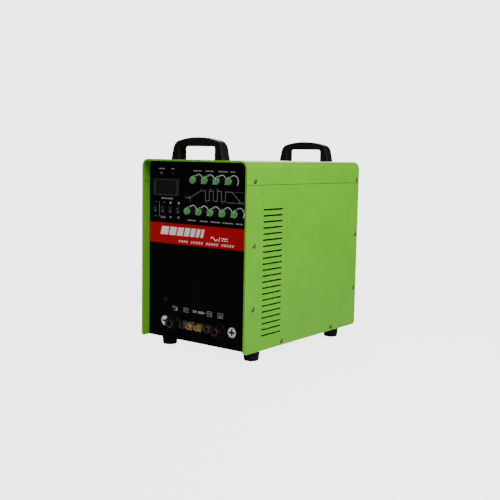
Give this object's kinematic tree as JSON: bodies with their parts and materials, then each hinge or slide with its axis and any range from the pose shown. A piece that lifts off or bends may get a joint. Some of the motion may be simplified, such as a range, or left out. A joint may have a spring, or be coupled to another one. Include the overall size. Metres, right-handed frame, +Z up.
{
  "type": "TIG welder",
  "caption": "Inverter welding power source in a green sheet-metal case, with a recessed black control panel, knobs, welding sockets, top handles and rubber feet.",
  "frame": {"origin": "on the surface the feet stand on, under the middle of the case", "axes": "+Z up, -Y towards the person at the controls, +X to that person's right"},
  "size_m": [0.2878, 0.43, 0.454],
  "materials": {
    "case_green": "powder coat, semi-gloss",
    "panel_black": "fine textured powder coat, satin",
    "overlay_black": "printed polycarbonate film",
    "band_red": "printed trim strip",
    "handle_black": "moulded nylon, fine grain",
    "foot_rubber": "moulded rubber",
    "zinc_steel": "zinc plated",
    "screw_steel": "yellow passivated zinc",
    "bezel_grey": "moulded ABS",
    "window_smoke": "smoked acrylic",
    "lamp_clear": "clear moulded lens",
    "lamp_red": "red moulded lens",
    "switch_black": "moulded nylon",
    "knob_black": "moulded ABS",
    "pot_steel": "nickel plated",
    "socket_black": "glass-filled thermoset",
    "brass": "turned brass",
    "dark_nickel": "dark plated barrel",
    "fan_black": "moulded PBT",
    "guard_wire": "bright plated wire",
    "breaker_grey": "moulded thermoset",
    "gland_black": "moulded nylon",
    "stud_steel": "zinc plated",
    "filter_foam": "open-cell foam",
    "hose_black": "reinforced rubber hose",
    "sink_aluminium": "extruded",
    "board_green": "glass-epoxy laminate with parts",
    "ferrite": "ferrite core with wound bobbin",
    "copper_turns": "enamelled copper winding",
    "can_blue": "sleeved aluminium can",
    "coil_orange": "insulated winding"
  },
  "bodies": {
    "case": {"top_cover": "case_green", "right_side_panel": "case_green", "left_side_panel": "case_green", "base_plate": "zinc_steel", "front_panel": "panel_black", "control_overlay": "overlay_black", "red_band": "band_red", "rear_panel": "panel_black", "front_handle": "handle_black", "rear_handle": "handle_black", "foot_front_left": "foot_rubber", "foot_front_right": "foot_rubber", "foot_rear_left": "foot_rubber", "foot_rear_right": "foot_rubber", "display_bezel": "bezel_grey", "display_window": "window_smoke", "display_module": "board_green", "indicator_power": "lamp_clear", "indicator_fault": "lamp_red", "rocker_housings": "switch_black", "potentiometers": "pot_steel", "weld_socket_negative": "socket_black", "weld_socket_positive": "socket_black", "socket_contact_negative": "brass", "socket_contact_positive": "brass", "torch_control_socket": "dark_nickel", "remote_control_socket": "dark_nickel", "gas_fittings": "brass", "dust_screens": "filter_foam", "fan_frame": "fan_black", "fan_guard": "guard_wire", "power_switch_housing": "breaker_grey", "cable_gland": "gland_black", "earth_stud": "stud_steel", "gas_solenoid_valve": "brass", "gas_hose": "hose_black", "heat_sink": "sink_aluminium", "power_board": "board_green", "control_board": "board_green", "main_transformer": "ferrite", "output_inductor": "copper_turns", "bulk_capacitors": "can_blue", "hf_ignition_coil": "coil_orange", "m4_screws": "screw_steel", "m5_screws": "screw_steel"},
    "rocker_1": {"rocker_1": "switch_black"},
    "rocker_2": {"rocker_2": "switch_black"},
    "rocker_3": {"rocker_3": "switch_black"},
    "rocker_4": {"rocker_4": "switch_black"},
    "knob_upper_1": {"knob_upper_1": "knob_black"},
    "knob_upper_2": {"knob_upper_2": "knob_black"},
    "knob_upper_3": {"knob_upper_3": "knob_black"},
    "knob_upper_4": {"knob_upper_4": "knob_black"},
    "knob_lower_1": {"knob_lower_1": "knob_black"},
    "knob_lower_2": {"knob_lower_2": "knob_black"},
    "knob_lower_3": {"knob_lower_3": "knob_black"},
    "knob_lower_4": {"knob_lower_4": "knob_black"},
    "knob_lower_5": {"knob_lower_5": "knob_black"},
    "fan_rotor": {"fan_rotor": "fan_black"},
    "power_switch_lever": {"power_switch_lever": "switch_black"}
  },
  "joints": [
    {"name": "knob_upper_1_turn", "type": "hinge", "parent": "case", "child": "knob_upper_1", "pos_m": [-0.001, -0.201, 0.367], "axis": [0, -1, 0], "range_deg": [-140, 140]},
    {"name": "knob_upper_2_turn", "type": "hinge", "parent": "case", "child": "knob_upper_2", "pos_m": [0.0302, -0.201, 0.367], "axis": [0, -1, 0], "range_deg": [-140, 140]},
    {"name": "knob_upper_3_turn", "type": "hinge", "parent": "case", "child": "knob_upper_3", "pos_m": [0.0614, -0.201, 0.367], "axis": [0, -1, 0], "range_deg": [-140, 140]},
    {"name": "knob_upper_4_turn", "type": "hinge", "parent": "case", "child": "knob_upper_4", "pos_m": [0.0926, -0.201, 0.367], "axis": [0, -1, 0], "range_deg": [-140, 140]},
    {"name": "knob_lower_1_turn", "type": "hinge", "parent": "case", "child": "knob_lower_1", "pos_m": [-0.016, -0.201, 0.3025], "axis": [0, -1, 0], "range_deg": [-140, 140]},
    {"name": "knob_lower_2_turn", "type": "hinge", "parent": "case", "child": "knob_lower_2", "pos_m": [0.0152, -0.201, 0.3025], "axis": [0, -1, 0], "range_deg": [-140, 140]},
    {"name": "knob_lower_3_turn", "type": "hinge", "parent": "case", "child": "knob_lower_3", "pos_m": [0.0464, -0.201, 0.3025], "axis": [0, -1, 0], "range_deg": [-140, 140]},
    {"name": "knob_lower_4_turn", "type": "hinge", "parent": "case", "child": "knob_lower_4", "pos_m": [0.0776, -0.201, 0.3025], "axis": [0, -1, 0], "range_deg": [-140, 140]},
    {"name": "knob_lower_5_turn", "type": "hinge", "parent": "case", "child": "knob_lower_5", "pos_m": [0.1088, -0.201, 0.3025], "axis": [0, -1, 0], "range_deg": [-140, 140]},
    {"name": "rocker_1_press", "type": "hinge", "parent": "case", "child": "rocker_1", "pos_m": [-0.122, -0.1904, 0.3015], "axis": [-1, 0, 0], "range_deg": [0, 16]},
    {"name": "rocker_2_press", "type": "hinge", "parent": "case", "child": "rocker_2", "pos_m": [-0.1003, -0.1904, 0.3015], "axis": [-1, 0, 0], "range_deg": [0, 16]},
    {"name": "rocker_3_press", "type": "hinge", "parent": "case", "child": "rocker_3", "pos_m": [-0.0784, -0.1904, 0.3015], "axis": [-1, 0, 0], "range_deg": [0, 16]},
    {"name": "rocker_4_press", "type": "hinge", "parent": "case", "child": "rocker_4", "pos_m": [-0.0566, -0.1904, 0.3015], "axis": [-1, 0, 0], "range_deg": [0, 16]},
    {"name": "power_switch_throw", "type": "hinge", "parent": "case", "child": "power_switch_lever", "pos_m": [0.074, 0.195, 0.324], "axis": [1, 0, 0], "range_deg": [0, 76]},
    {"name": "fan_spin", "type": "hinge", "parent": "case", "child": "fan_rotor", "pos_m": [0, 0.1745, 0.116], "axis": [0, 1, 0], "continuous": true}
  ]
}
